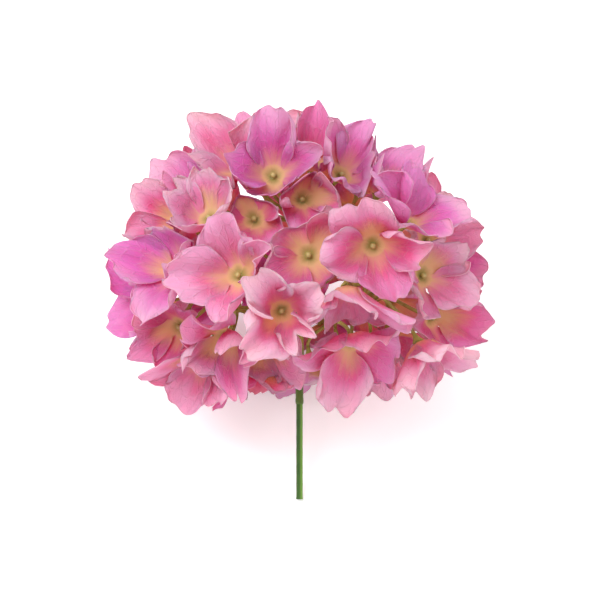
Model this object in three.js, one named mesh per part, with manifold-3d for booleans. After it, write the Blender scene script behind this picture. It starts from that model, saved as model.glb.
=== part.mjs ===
// An artificial hydrangea: one mophead of fabric florets on a branched plastic spray, with a
// short straight stem that is cut square. It lies on a table, where it leans on the petals of
// its lower rim and on the cut end of its stem.
//
// Millimetres, +Z up, the table at Z = 0. The flower is worked out upright in its own frame:
// x to the right, y up along the stem, z to the front, with the head's centre at 0, 0, 0. One
// group then lays it down.

import * as THREE from 'three';
import { mergeVertices } from 'three/addons/utils/BufferGeometryUtils.js';
import Module from 'manifold-3d';

const wasm = await Module();
wasm.setup();

const degrees = Math.PI / 180;
const quarter = 90 * degrees;
const vector = (x, y, z) => new THREE.Vector3(x, y, z);

// ---- Driving dimensions ----------------------------------------------------------------

// The head: how far the florets' eyes lie from its centre.
const eyeReach = { side: 55, up: 53, down: 30 };
const rimShare = 0.02;         // an eye past the head's rim keeps this share of its depth
const seed = 7;

// The florets at the back start on a spiral from the crown down, with heights as shares of
// the reach, and move apart until they are about the spacing away from all the others.
const hiddenFlorets = 28;
const spiral = { top: 0.94, foot: -0.8, turn: 0.618 };
const eyeSpacing = 30;
const spreadSteps = 80;
const spreadPush = 0.25;
const hiddenLook = { sway: 1, proud: [-6, 8], open: [18, 46], flare: [0, 14] };
const gapBeforeSleeve = { y: -38, z: 40 };  // no floret grows here, so that the sleeve shows

// A floret: a piece of fabric with four petals, pushed onto its stalk through a small hole.
const petalLength = 31;
const fabricThickness = 0.7;
const pieceGap = 0.35;         // between pieces that touch
const holeRadius = 1.9;
const rootRadius = 6;          // the petals part here
const ringLift = 24;           // the slope of the ring round the hole, in degrees
const rootPerOpen = 0.85;      // the petals of a cup start steeper than that
const petalHalfWidth = 22;
const widestAt = 0.72;         // as a share of the way from the root to the tip
const closingPower = 2.6;      // how suddenly it closes from there to its end
const widestAngle = 72;        // how far round the eye a cupped petal's side would come
const wrapRate = 1.4;          // how fast it gets there
const partedAngle = 43.5;      // and where it stops short of the next petal
const leastRound = 0.2;        // the least cosine that a steep petal's radius is taken with
const tipRounding = 0.28;
const siteHeight = 15;         // the middle of a floret lies this far above its eye

// What one petal may differ by: degrees, shares of the petal's length, and the wave in mm.
const petalLook = {
  turn: [-5, 5], length: [0.9, 1.1], tipLift: [-24, 22], curl: [-75, 10], endWidth: [0.55, 0.8],
  cup: [-0.1, 0.15], twist: [-0.2, 0.2], wave: [1.4, 3.2], point: [-0.08, 0.04],
};

// How a petal gives way to what it meets.
const softness = 4;            // a petal starts to bend this far from a neighbour
const tableSoftness = 1.5;     // and this far from the table, where it presses flat
const bendsFrom = 0.4;         // and does so in full from this share of its length
const farthestNeighbour = 90;
const sharePerProud = 0.01;    // a proud floret takes this much more of the gap, each mm
const lean = { perProud: 0.03, most: 0.4 };    // and spreads this much over its neighbour
const under = { height: -20, slope: 1 };        // petals hang lower the further out they are

// The stem and the sleeve that it plugs into, which is the foot of the spray.
const stemRadius = 1.55;
const stemEnd = -96;           // height of the cut end
const sleeveRadius = 1.85;
const sleeveEnd = -51.5;
const wireRadius = 0.6;
const boreRadius = 0.95;
const wireTop = -34;

// The spray's branches: a crown straight up, and a ring of them that rise and then spread.
const hubHeight = -14;
const shoulderHeight = -8;     // the sleeve is down to a branch's thickness here
const crownHeight = 32;
const branchReach = 34;
const branchHeights = [4, -9];
const branchBend = { share: 0.45, rise: 5 };
const branchCount = 6;
const branchRadius = 1.5;

// A stalk ends in a calyx under the fabric, a neck through its hole and a bead on top.
const stalkRadius = 0.95;
const stalkBend = 13.2;        // a stalk aims at the eye from this far below
const stalkTop = [
  { height: -4.2, radius: stalkRadius },
  { height: -0.9, radius: 1.9 },
  { height: -0.1, radius: 0.85 },
  { height: 1.4, radius: 0.85 },
  { height: 2.2, radius: 1.8 },
  { height: 3.8, radius: 0 },
];

// How finely round pieces are divided.
const sides = { stalk: 5, sleeve: 8, wire: 8, bore: 12, stem: 16 };
const steps = { stalk: 2, branch: 3 };

// How it lies: the stem climbs from its cut end at this angle.
const restTilt = 40;

// The florets that show from the front. eye is its place, x to the right of the stem, y above
// the head's centre, and z in front of it where it isn't on the head's surface; proud brings
// it forward. aim is the x and y of the direction that it faces. turn is the direction of its
// first petal, in degrees from the right. open is the slope of its petal tips, low for flat
// and high for a closed cup, and flare raises the middle of the petals, so that they leave a
// trumpet's throat and then turn out.
const frontFlorets = [
  { eye: [-12, 51], aim: [0.05, 0.3], proud: 12, turn: 5, open: 48, flare: 6, hue: 'orchid' },
  { eye: [4, 15], aim: [0, 0.1], proud: -6, turn: 42, open: 14, flare: 0, hue: 'rose' },
  { eye: [-8, -9], aim: [0.1, -0.15], proud: 17, turn: -52, open: 56, flare: 24, hue: 'pale' },
  { eye: [-26, 6], aim: [-0.35, 0.15], proud: 13, turn: 8, open: 46, flare: 6, hue: 'pale' },
  { eye: [-40, 31], aim: [-0.35, 0.62], proud: 9, turn: -20, open: 48, flare: 0, hue: 'pale' },
  { eye: [-26, 54], aim: [-0.35, 0.62], proud: 4, turn: 35, open: 46, flare: 0, hue: 'pale' },
  { eye: [-17, 57, -9], aim: [-0.1, 0.85], proud: 2, turn: 27, open: 50, flare: 0, hue: 'pale' },
  { eye: [5, 56, 4], aim: [0.1, 0.75], proud: -4, turn: 95, open: 52, flare: 0, hue: 'rose' },
  { eye: [18, 51], aim: [0.45, 0.55], proud: 6, turn: 65, open: 46, flare: 6, hue: 'orchid' },
  { eye: [35, 43, 14], aim: [0.3, 0.88], proud: 2, turn: 45, open: 56, flare: 0, hue: 'orchid' },
  { eye: [47, 29, 30], aim: [0.5, 0.65], proud: 6, turn: 100, open: 52, flare: 0, hue: 'orchid' },
  { eye: [49, 36, -6], aim: [0.8, 0.4], proud: -2, turn: 10, open: 50, flare: 0, hue: 'pale' },
  { eye: [57, 22, 8], aim: [0.65, 0.22], proud: 0, turn: 12, open: 42, flare: 0, hue: 'pale' },
  { eye: [54, 6, 26], aim: [0.66, 0.1], proud: 4, turn: -32, open: 42, flare: 0, hue: 'pale' },
  { eye: [59, -12, 10], aim: [0.7, -0.28], proud: -2, turn: -12, open: 46, flare: 0, hue: 'rose' },
  { eye: [32, 20], aim: [0.12, -0.32], proud: 15, turn: 12, open: 48, flare: 10, hue: 'rose' },
  { eye: [21, 2], aim: [0.02, -0.95], proud: 10, turn: 86, open: 50, flare: 0, hue: 'pale' },
  { eye: [33, -24], aim: [0.1, -0.94], proud: 4, turn: 80, open: 54, flare: 0, hue: 'pale' },
  { eye: [53, -23, 28], aim: [0.45, -0.85], proud: 4, turn: 70, open: 50, flare: 0, hue: 'pale' },
  { eye: [-52, 30, 22], aim: [-0.7, 0.45], proud: -2, turn: 35, open: 50, flare: 0, hue: 'rose' },
  { eye: [-42, 42, 0], aim: [-0.55, 0.62], proud: 0, turn: 45, open: 46, flare: 0, hue: 'orchid' },
  { eye: [-53, 8, 28], aim: [-0.6, 0.35], proud: 5, turn: -20, open: 50, flare: 0, hue: 'orchid' },
  { eye: [-62, -5, 0], aim: [-0.88, -0.1], proud: 2, turn: 30, open: 44, flare: 0, hue: 'orchid' },
  { eye: [-53, -16, 22], aim: [-0.6, -0.35], proud: -3, turn: 22, open: 48, flare: 0, hue: 'rose' },
  { eye: [-42, -30, 22], aim: [-0.35, -0.75], proud: 2, turn: 75, open: 46, flare: 0, hue: 'pale' },
  { eye: [-32, -20], aim: [-0.25, -0.6], proud: 7, turn: 40, open: 48, flare: 8, hue: 'rose' },
  { eye: [-17, -22], aim: [0, -0.75], proud: -4, turn: 75, open: 56, flare: 0, hue: 'pale' },
  { eye: [1, 40], aim: [0.05, 0.3], proud: -9, turn: 0, open: 44, flare: 0, hue: 'rose' },
  { eye: [-20, 31], aim: [-0.15, 0.35], proud: -9, turn: 30, open: 42, flare: 0, hue: 'rose' },
];

const hues = {
  pale: 0xeaa6c4,
  rose: 0xe0759f,
  orchid: 0xd965b8,
};
const green = { spray: 0x8a9440, stem: 0x3f7020 };
const steel = 0x8d8f92;

// ---- Where the florets go --------------------------------------------------------------

/** The same number from 0 to 1 each time for the same floret and the same draw. */
function draw(floret, number) {
  const wave = Math.sin(seed + floret * 12.9898 + number * 78.233) * 43758.5453;
  return wave - Math.floor(wave);
}

/** A number that lies a share of the way from low to high. */
function between([low, high], share) {
  return low + (high - low) * share;
}

/** The half-length of the head along y, on the side of the centre where y lies. */
function reachAlongStem(y) {
  return y > 0 ? eyeReach.up : eyeReach.down;
}

/** Moves a point along its line from the centre onto the surface where the eyes lie. */
function ontoHead(point) {
  const size = Math.hypot(
    point.x / eyeReach.side, point.y / reachAlongStem(point.y), point.z / eyeReach.side);
  return point.clone().divideScalar(size);
}

/** The direction out of the head at a point of that surface. */
function outwards(point) {
  return vector(
    point.x / eyeReach.side ** 2,
    point.y / reachAlongStem(point.y) ** 2,
    point.z / eyeReach.side ** 2).normalize();
}

/** A floret's eye, the axis that it faces along, and its first petal's direction. */
function placed(index, eye, axis, look) {
  const right = vector(1, 0, 0);
  const across = right.addScaledVector(axis, -right.dot(axis)).normalize();
  const upward = vector().crossVectors(axis, across);
  const site = eye.clone().addScaledVector(axis, siteHeight);
  return { index, eye, axis, across, upward, site, ...look };
}

function placeFlorets() {
  const front = frontFlorets.map(({ eye: [x, y, z], aim: [aimX, aimY], ...look }) => {
    const share = 1 - (x / eyeReach.side) ** 2 - (y / reachAlongStem(y)) ** 2;
    const surface = eyeReach.side * Math.sqrt(Math.max(share, rimShare));
    const axis = vector(aimX, aimY, Math.sqrt(1 - aimX ** 2 - aimY ** 2));
    return { eye: vector(x, y, (z ?? surface) + look.proud), axis, look };
  });

  // The hidden ones start on a spiral over the back, and then spread evenly.
  const hidden = [];
  for (let i = 0; i < hiddenFlorets; i++) {
    const height = between([spiral.top, spiral.foot], i / (hiddenFlorets - 1));
    const around = Math.PI * (1 + (i * spiral.turn) % 1);
    const ring = Math.sqrt(1 - height * height);
    hidden.push(ontoHead(vector(ring * Math.cos(around), height, ring * Math.sin(around))));
  }
  const keptFree = [
    vector(0, -eyeReach.down, 0), vector(0, gapBeforeSleeve.y, gapBeforeSleeve.z)];
  const placedEyes = [...front.map((floret) => floret.eye), ...keptFree];
  for (let step = 0; step < spreadSteps; step++) {
    hidden.forEach((eye, i) => {
      const others = [...placedEyes, ...hidden.filter((_, j) => j !== i)];
      const push = vector();
      for (const other of others) {
        const apart = eye.clone().sub(other);
        const short = eyeSpacing - apart.length();
        if (short > 0) push.addScaledVector(apart.normalize(), spreadPush * short);
      }
      eye.copy(ontoHead(eye.clone().add(push)));
    });
  }

  const florets = front.map(({ eye, axis, look }, i) => placed(i, eye, axis, look));
  const names = ['pale', 'pale', 'rose', 'orchid'];
  for (const eye of hidden) {
    const i = florets.length;
    const sway = vector(draw(i, 1) - 0.5, draw(i, 2) - 0.5, draw(i, 3) - 0.5);
    const axis = outwards(eye).addScaledVector(sway, hiddenLook.sway).normalize();
    const proud = between(hiddenLook.proud, draw(i, 4));
    florets.push(placed(i, eye.clone().addScaledVector(axis, proud), axis, {
      proud,
      turn: 90 * draw(i, 5),
      open: between(hiddenLook.open, draw(i, 6)),
      flare: between(hiddenLook.flare, draw(i, 8)),
      hue: names[Math.floor(names.length * draw(i, 7))],
    }));
  }
  return florets;
}

// ---- The fabric of a floret ------------------------------------------------------------

const tableDown = vector(0, -Math.sin(restTilt * degrees), -Math.cos(restTilt * degrees));
const tableReach = stemEnd * tableDown.y - stemRadius * tableDown.z;

/**
 * The planes that a floret stays behind: one between it and each neighbour, which leans over
 * the one that stands out less, one for the table, one for the stem and one under the head.
 */
function wallsOf(floret, florets) {
  const walls = [];
  const clear = (fabricThickness + pieceGap) / 2;
  for (const other of florets) {
    const way = other.site.clone().sub(floret.site);
    const apart = way.length();
    if (other === floret || apart > farthestNeighbour) continue;
    const prouder = floret.proud - other.proud;
    const meeting = floret.site.clone().addScaledVector(way, 0.5 + sharePerProud * prouder);
    const normal = way.normalize();
    const outward = meeting.clone().addScaledVector(normal, -meeting.dot(normal)).normalize();
    const leaning = Math.max(-lean.most, Math.min(lean.most, lean.perProud * prouder));
    normal.addScaledVector(outward, -leaning).normalize();
    walls.push({ normal, reach: normal.dot(meeting) - clear, softness });
  }
  const tableTop = tableReach - fabricThickness / 2;
  walls.push({ normal: tableDown, reach: tableTop, softness: tableSoftness });
  if (floret.site.y < 0) {
    const toStem = vector(-floret.site.x, 0, -floret.site.z).normalize();
    walls.push({ normal: toStem, reach: -(sleeveRadius + clear + pieceGap), softness });
    const normal = toStem.clone().setY(-under.slope).normalize();
    walls.push({ normal, reach: normal.y * under.height, softness });
  }
  return walls;
}

/** Bends a point back softly from each plane, so that it never gets past one. */
function bendClear(point, walls, along) {
  const share = Math.min(1, Math.max(0, along / bendsFrom));
  for (const { normal, reach, softness: give } of walls) {
    const into = normal.dot(point) - (reach - give);
    if (into > 0) {
      const kept = give * (1 - Math.exp(-into / give));
      point.addScaledVector(normal, share * (kept - into));
    }
  }
  return point;
}

/** One petal's own shape, drawn for this floret and this petal. */
function petalOf(floret, k) {
  const own = (number) => draw(floret.index, 10 + 8 * k + number);
  const fine = (number) => draw(floret.index, 50 + 12 * k + number);
  return {
    middle: (floret.turn + between(petalLook.turn, own(0))) * degrees + quarter * k,
    length: petalLength * between(petalLook.length, own(1)),
    root: Math.max(ringLift, rootPerOpen * floret.open) * degrees,
    tipLift: (floret.open + between(petalLook.tipLift, own(2))) * degrees,
    cup: between(petalLook.cup, own(3)),
    wave: between(petalLook.wave, own(4)),
    phase: 2 * Math.PI * own(5),
    point: between(petalLook.point, own(6)),
    curl: between(petalLook.curl, own(7)) * degrees,
    endWidth: between(petalLook.endWidth, fine(8)),
    twist: between(petalLook.twist, fine(11)),
  };
}

/**
 * How far round the eye a petal's side lies, for a share out of its length and the petal's
 * radius there. The cloth keeps its width in mm as it is lifted: it widens from the root to
 * widestAt, and then closes to a round end.
 */
function halfAngle(petal, out, radius) {
  const widening = Math.sin(quarter * Math.min(1, out / widestAt));
  const closing = (Math.max(0, out - widestAt) / (1 - widestAt)) ** closingPower;
  const width = (rootRadius * quarter / 2 * (1 - widening) + petalHalfWidth * widening)
    * (1 - (1 - petal.endWidth) * closing);
  const widest = widestAngle * degrees;
  const wrapped = widest * (1 - Math.exp(-wrapRate * width / radius / widest));
  return out > 0 ? Math.min(wrapped, partedAngle * degrees) : quarter / 2;
}

/**
 * A point of a petal's middle surface. along runs from 0, where the petals part, to 1 at the
 * tip, and is below 0 towards the hole; across runs from -1 to 1. The cloth is cut in polar
 * form and then lifted: its slope grows evenly from the root to the tip, with the flare added
 * in the middle and a curl that grows by the cube towards the tip. Its sides rise by the
 * square of across, and it twists and waves.
 */
function petalPoint(floret, petal, along, across) {
  const out = Math.max(0, along);
  const tip = petal.length * (1 - tipRounding * across ** 2)
    * (1 + petal.point * Math.max(0, 1 - 2 * Math.abs(across)));
  const near = rootRadius + Math.min(0, along) * (rootRadius - holeRadius);
  const past = out * (tip - rootRadius);
  const grow = past / (petal.length - rootRadius);
  const { root, curl } = petal;
  const flare = floret.flare * degrees;
  const rise = petal.tipLift - root;
  const slope = root + rise * grow + flare * 4 * grow * (1 - grow) + curl * grow ** 3;
  const chord = root + rise * grow / 2 + flare * (2 * grow - grow ** 2 * 4 / 3)
    + curl * grow ** 3 / 4;
  const ring = {
    radius: near * Math.cos(ringLift * degrees), height: near * Math.sin(ringLift * degrees),
  };
  const radius = ring.radius + past * Math.max(leastRound, Math.cos(chord));
  const angle = petal.middle + across * halfAngle(petal, out, radius);
  const off = out * (petal.cup * petal.length * across ** 2 + petal.twist * petal.length * across
    + petal.wave * Math.cos(2 * Math.PI * across + petal.phase));
  const sideways = ring.radius + past * Math.cos(chord) - off * Math.sin(slope);
  const height = ring.height + past * Math.sin(chord) + off * Math.cos(slope);
  return floret.eye.clone()
    .addScaledVector(floret.across, sideways * Math.cos(angle))
    .addScaledVector(floret.upward, sideways * Math.sin(angle))
    .addScaledVector(floret.axis, height);
}

/** One closed sheet of cloth: a ring round the hole, with four petals that part at its rim. */
function floretGeometry(floret, walls) {
  const middles = [];
  const faces = [];
  const rims = [];
  const point = (petal, along, across) => {
    middles.push(bendClear(petalPoint(floret, petal, along, across), walls, along));
    return middles.length - 1;
  };
  const petals = [0, 1, 2, 3].map((k) => petalOf(floret, k));

  // Where two petals part, both share one point, at an angle halfway between theirs.
  const parting = (k, along) => {
    const [a, b] = [petals[k], petals[(k + 1) % 4]];
    const next = k === 3 ? b.middle + 2 * Math.PI : b.middle;
    const shared = { ...a, middle: (a.middle + next - quarter) / 2 };
    return point(shared, along, 1);
  };
  const holeCorners = petals.map((_, k) => parting(k, -1));
  const rootCorners = petals.map((_, k) => parting(k, 0));

  petals.forEach((petal, k) => {
    const before = (k + 3) % 4;
    const hole = [holeCorners[before], holeCorners[k]];
    const root = [rootCorners[before], point(petal, 0, 0), rootCorners[k]];
    const row = (along) => [-1, -0.5, 0, 0.5, 1].map((across) => point(petal, along, across));
    const [middle, tip] = [row(0.5), row(1)];
    faces.push(
      [hole[0], root[0], root[1]], [hole[0], root[1], hole[1]], [hole[1], root[1], root[2]],
      [root[0], middle[0], middle[1]], [root[0], middle[1], root[1]],
      [root[1], middle[1], middle[2]], [root[1], middle[2], middle[3]],
      [root[1], middle[3], root[2]], [root[2], middle[3], middle[4]]);
    for (let i = 0; i < 4; i++) {
      faces.push([middle[i], tip[i], tip[i + 1]], [middle[i], tip[i + 1], middle[i + 1]]);
    }
    rims.push([root[0], middle[0], ...tip, middle[4], root[2]], [hole[1], hole[0]]);
  });

  // The sheet's two faces lie half its thickness either side of the middle surface.
  const normals = middles.map(() => vector());
  for (const [a, b, c] of faces) {
    const normal = vector().crossVectors(
      middles[c].clone().sub(middles[b]), middles[a].clone().sub(middles[b]));
    [a, b, c].forEach((i) => normals[i].add(normal));
  }
  const count = middles.length;
  const positions = [];
  for (const side of [1, -1]) {
    middles.forEach((middle, i) => {
      const face = middle.clone().addScaledVector(
        normals[i].clone().normalize(), side * fabricThickness / 2);
      positions.push(face.x, face.y, face.z);
    });
  }
  const index = [];
  for (const [a, b, c] of faces) index.push(a, b, c, count + a, count + c, count + b);
  for (const rim of rims) {
    for (let i = 0; i + 1 < rim.length; i++) {
      const [a, b] = [rim[i], rim[i + 1]];
      index.push(b, a, count + a, b, count + a, count + b);
    }
  }
  const geometry = new THREE.BufferGeometry();
  geometry.setAttribute('position', new THREE.Float32BufferAttribute(positions, 3));
  geometry.setIndex(index);
  return geometry;
}

// ---- The spray: sleeve, branches, and a stalk with a calyx and a bead for each floret ---

/** A closed three.js geometry as a solid that can be joined and cut. */
function solid(geometry) {
  const bare = geometry.clone();
  bare.deleteAttribute('normal');
  bare.deleteAttribute('uv');
  const merged = mergeVertices(bare, 1e-4);
  return new wasm.Manifold(new wasm.Mesh({
    numProp: 3,
    vertProperties: new Float32Array(merged.attributes.position.array),
    triVerts: new Uint32Array(merged.index.array),
  }));
}

function asGeometry(body) {
  const mesh = body.getMesh();
  const geometry = new THREE.BufferGeometry();
  geometry.setAttribute('position', new THREE.Float32BufferAttribute(mesh.vertProperties, 3));
  geometry.setIndex([...mesh.triVerts]);
  return geometry;
}

/** A bar through a row of [place, radius] rings, closed at both ends, or in a point at 0. */
function swept(rings, count) {
  const side = vector(0, 0, 1);
  const positions = [];
  const index = [];
  rings.forEach(([place, radius], i) => {
    const from = rings[Math.max(0, i - 1)][0];
    const to = rings[Math.min(rings.length - 1, i + 1)][0];
    const along = to.clone().sub(from).normalize();
    if (i === 0 && Math.abs(along.z) > 0.9) side.set(1, 0, 0);  // not along the bar
    side.addScaledVector(along, -side.dot(along)).normalize();
    const other = vector().crossVectors(along, side);
    for (let k = 0; k < count; k++) {
      const angle = 2 * Math.PI * k / count;
      const corner = place.clone()
        .addScaledVector(side, radius * Math.cos(angle))
        .addScaledVector(other, radius * Math.sin(angle));
      positions.push(corner.x, corner.y, corner.z);
    }
    if (i === 0) return;
    for (let k = 0; k < count; k++) {
      const [a, b] = [(i - 1) * count + k, (i - 1) * count + (k + 1) % count];
      index.push(a, b, b + count);
      if (radius > 0) index.push(a, b + count, a + count);
    }
  });
  const last = (rings.length - 1) * count;
  for (let k = 1; k + 1 < count; k++) {
    index.push(0, k + 1, k);
    if (rings[rings.length - 1][1] > 0) index.push(last, last + k, last + k + 1);
  }
  const geometry = new THREE.BufferGeometry();
  geometry.setAttribute('position', new THREE.Float32BufferAttribute(positions, 3));
  geometry.setIndex(index);
  return geometry;
}

/** A profile of [radius, height] points turned about the stem's line. */
function turned(profile, count) {
  return new THREE.LatheGeometry(profile.map(([r, h]) => new THREE.Vector2(r, h)), count);
}

function sprayGeometry(florets) {
  const hub = vector(0, hubHeight, 0);
  const nodes = [vector(0, crownHeight, 0)];
  const bodies = [
    turned([
      [0, sleeveEnd], [sleeveRadius, sleeveEnd], [sleeveRadius, hubHeight],
      [branchRadius, shoulderHeight], [branchRadius, crownHeight], [0, crownHeight],
    ], sides.sleeve),
  ];
  for (let k = 0; k < branchCount; k++) {
    const angle = 2 * Math.PI * (k + 0.5) / branchCount;
    const node = vector(
      branchReach * Math.cos(angle), branchHeights[k % 2], branchReach * Math.sin(angle));
    const bend = hub.clone().lerp(node, branchBend.share).add(vector(0, branchBend.rise, 0));
    const branch = new THREE.QuadraticBezierCurve3(hub, bend, node);
    const places = branch.getPoints(steps.branch);
    bodies.push(swept(places.map((place) => [place, branchRadius]), sides.stalk));
    nodes.push(node);
  }
  for (const floret of florets) {
    const over = (height) => floret.eye.clone().addScaledVector(floret.axis, height);
    const node = nodes.reduce((best, other) =>
      other.distanceTo(floret.eye) < best.distanceTo(floret.eye) ? other : best);
    const [foot, ...top] = stalkTop;
    const stalk = new THREE.QuadraticBezierCurve3(node, over(-stalkBend), over(foot.height));
    bodies.push(swept([
      ...stalk.getPoints(steps.stalk).map((place) => [place, foot.radius]),
      ...top.map(({ height, radius }) => [over(height), radius]),
    ], sides.stalk));
  }
  const below = sleeveEnd - 1;
  const boreTop = wireTop + pieceGap;
  const bore = turned([
    [0, below], [boreRadius, below], [boreRadius, boreTop], [0, boreTop],
  ], sides.bore);
  return asGeometry(wasm.Manifold.union(bodies.map(solid)).subtract(solid(bore)));
}

// ---- The stem and its wire -------------------------------------------------------------

function stemGeometry() {
  const top = sleeveEnd - pieceGap;
  return asGeometry(solid(turned([
    [boreRadius, stemEnd], [stemRadius, stemEnd], [stemRadius, top], [boreRadius, top],
    [boreRadius, stemEnd],
  ], sides.stem)));
}

function wireGeometry() {
  return asGeometry(solid(turned([
    [0, stemEnd], [wireRadius, stemEnd], [wireRadius, wireTop], [0, wireTop],
  ], sides.wire)));
}

// ---- The flower, laid down -------------------------------------------------------------

const florets = placeFlorets();
const flower = new THREE.Group();
flower.rotation.x = restTilt * degrees;
flower.position.z = tableReach;

function addPiece(name, geometry, look) {
  const mesh = new THREE.Mesh(geometry, new THREE.MeshStandardMaterial(look));
  mesh.name = name;
  flower.add(mesh);
}

addPiece('stem', stemGeometry(), { color: green.stem, roughness: 0.45 });
addPiece('stem_wire', wireGeometry(), { color: steel, roughness: 0.4, metalness: 1 });
addPiece('spray', sprayGeometry(florets), { color: green.spray, roughness: 0.5 });
florets.forEach((floret, i) => {
  addPiece(
    'floret_' + String(i + 1).padStart(2, '0'), floretGeometry(floret, wallsOf(floret, florets)),
    { color: hues[floret.hue], roughness: 0.8 });
});

// The part's origin is the middle of the foot of its box.
flower.updateMatrixWorld(true);
const box = new THREE.Box3().setFromObject(flower, true);
flower.position.x -= (box.min.x + box.max.x) / 2;
flower.position.y -= (box.min.y + box.max.y) / 2;

const part = new THREE.Group();
part.add(flower);
export default part;
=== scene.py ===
# An artificial hydrangea: a head of fabric florets on a moulded plastic spray, with a short
# stem that is cut square. It lies on a pale table, on the petals of its lower rim and on the
# cut end of its stem. The flower is worked out upright, in millimetres: x to the right, y up
# along the stem, z to the front, with the head's centre at 0, 0, 0. laid() then lays it down.

import math

import bpy
import numpy as np
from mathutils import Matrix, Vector


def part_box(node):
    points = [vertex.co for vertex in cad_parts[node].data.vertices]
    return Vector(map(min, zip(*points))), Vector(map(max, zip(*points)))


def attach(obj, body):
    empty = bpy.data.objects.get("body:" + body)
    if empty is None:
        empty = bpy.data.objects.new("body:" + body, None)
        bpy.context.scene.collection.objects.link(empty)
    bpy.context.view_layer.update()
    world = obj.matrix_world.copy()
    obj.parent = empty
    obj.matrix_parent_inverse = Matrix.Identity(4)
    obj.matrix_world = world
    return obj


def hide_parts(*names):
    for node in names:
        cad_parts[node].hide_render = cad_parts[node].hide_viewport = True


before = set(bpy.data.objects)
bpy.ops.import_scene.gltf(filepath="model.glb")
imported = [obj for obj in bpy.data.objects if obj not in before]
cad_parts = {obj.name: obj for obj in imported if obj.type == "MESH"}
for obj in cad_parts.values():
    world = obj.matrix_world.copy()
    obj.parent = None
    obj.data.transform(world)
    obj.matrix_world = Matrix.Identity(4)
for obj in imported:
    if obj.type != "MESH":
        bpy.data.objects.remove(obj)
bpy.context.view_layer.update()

# ---- How the flower lies -------------------------------------------------------------------
# The stem climbs from its cut end at 40 degrees. The stem's own box tells where that end is
# in the frame, and everything else follows from it.

MM = 0.001
TILT = math.radians(40)
STEM_RADIUS = 1.55
STEM_END = -96.0                 # height of the cut end, below the head's centre

stem_low, stem_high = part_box("stem")
place = np.array([
    (stem_low.x + stem_high.x) / 2 / MM,
    stem_low.y / MM - STEM_END * math.cos(TILT) + STEM_RADIUS * math.sin(TILT),
    -STEM_END * math.sin(TILT) + STEM_RADIUS * math.cos(TILT),
])
upright_to_laid = np.array([
    [1, 0, 0],
    [0, math.cos(TILT), -math.sin(TILT)],
    [0, math.sin(TILT), math.cos(TILT)],
])


def laid(points):
    """Points of the upright flower, in mm, turned back by the tilt, set down, in metres."""
    return (points @ upright_to_laid.T + place) * MM


def unit(vectors):
    """The same directions with length 1."""
    return vectors / np.linalg.norm(vectors, axis=-1, keepdims=True)


# ---- The camera ----------------------------------------------------------------------------
# It looks at the flower's front, so it looks down on the table at 50 degrees. The head is
# 180 mm across and covers 392 pixels of the photograph, with its centre a little high.

MM_PER_PIXEL = 0.459
FRAME_PIXELS = 600
HEAD_CENTRE_PIXEL = np.array([299.5, 290.0])
CAMERA_AWAY = 1300.0
SENSOR_WIDTH = 36.0

off_centre = (FRAME_PIXELS / 2 - HEAD_CENTRE_PIXEL) * MM_PER_PIXEL
eye_point = np.array([off_centre[0], -off_centre[1], CAMERA_AWAY])
camera_data = bpy.data.cameras.new("camera")
camera_data.sensor_width = SENSOR_WIDTH
camera_data.lens = SENSOR_WIDTH * CAMERA_AWAY / (FRAME_PIXELS * MM_PER_PIXEL)
camera = bpy.data.objects.new("camera", camera_data)
bpy.context.scene.collection.objects.link(camera)
camera.location = laid(eye_point)
camera.rotation_euler = (TILT, 0, 0)
bpy.context.scene.camera = camera

# ---- The table and the light ---------------------------------------------------------------
# A plain white table that fills the view, and glows a little so that it stays white under the
# flower. The light is soft and high, from the upper left of the picture, with a broad fill
# from the right and a pale surround.

TABLE_SIZE = 6.0
lamps = {
    # name: (direction in the upright flower's frame, distance in mm, size in mm, watts)
    "key": ((-0.5, 0.6, 1.0), 900, 700, 5.8),
    "fill": ((0.9, 0.1, 0.7), 1100, 900, 1.2),
}

table = bpy.data.objects.new("table", bpy.data.meshes.new("table"))
half = TABLE_SIZE / 2
table.data.from_pydata(
    [(-half, -half, 0), (half, -half, 0), (half, half, 0), (-half, half, 0)], [], [(0, 1, 2, 3)])
bpy.context.scene.collection.objects.link(table)
table_paint = bpy.data.materials.new("table_paint")
table_paint.use_nodes = True
painted = table_paint.node_tree.nodes["Principled BSDF"]
painted.inputs["Base Color"].default_value = (0.96, 0.96, 0.96, 1)
painted.inputs["Roughness"].default_value = 0.9
painted.inputs["Specular IOR Level"].default_value = 0.1
painted.inputs["Emission Color"].default_value = (1, 1, 1, 1)
painted.inputs["Emission Strength"].default_value = 0.32
table.data.materials.append(table_paint)

for name, (direction, away, size, watts) in lamps.items():
    lamp_data = bpy.data.lights.new(name, "AREA")
    lamp_data.shape = "DISK"
    lamp_data.size = size * MM
    lamp_data.energy = watts
    lamp = bpy.data.objects.new(name, lamp_data)
    bpy.context.scene.collection.objects.link(lamp)
    lamp.location = laid(unit(np.array(direction)) * away)
    towards = lamp.location - Vector(laid(np.zeros(3)))
    lamp.rotation_euler = towards.to_track_quat("Z", "Y").to_euler()

surround = bpy.data.worlds.new("surround")
surround.use_nodes = True
surround.node_tree.nodes["Background"].inputs["Color"].default_value = (1.0, 0.99, 0.98, 1)
surround.node_tree.nodes["Background"].inputs["Strength"].default_value = 0.95
bpy.context.scene.world = surround
bpy.context.scene.view_settings.view_transform = "Standard"

# ---- Where the florets grow ----------------------------------------------------------------
# The florets that show from the front are listed one by one. Each has its eye (x, y and, where it
# isn't on the head's surface, z), the x and y of the way it faces, how far it stands out, the
# direction of its first petal, the slope of its petals and the flare of their middles.

SEED = 7
SIDE_REACH = 55.0
UP_REACH = 53.0
DOWN_REACH = 30.0
RIM_SHARE = 0.02                 # an eye past the rim keeps this share of its depth
SITE_HEIGHT = 15.0               # the middle of a floret lies this far above its eye

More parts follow.
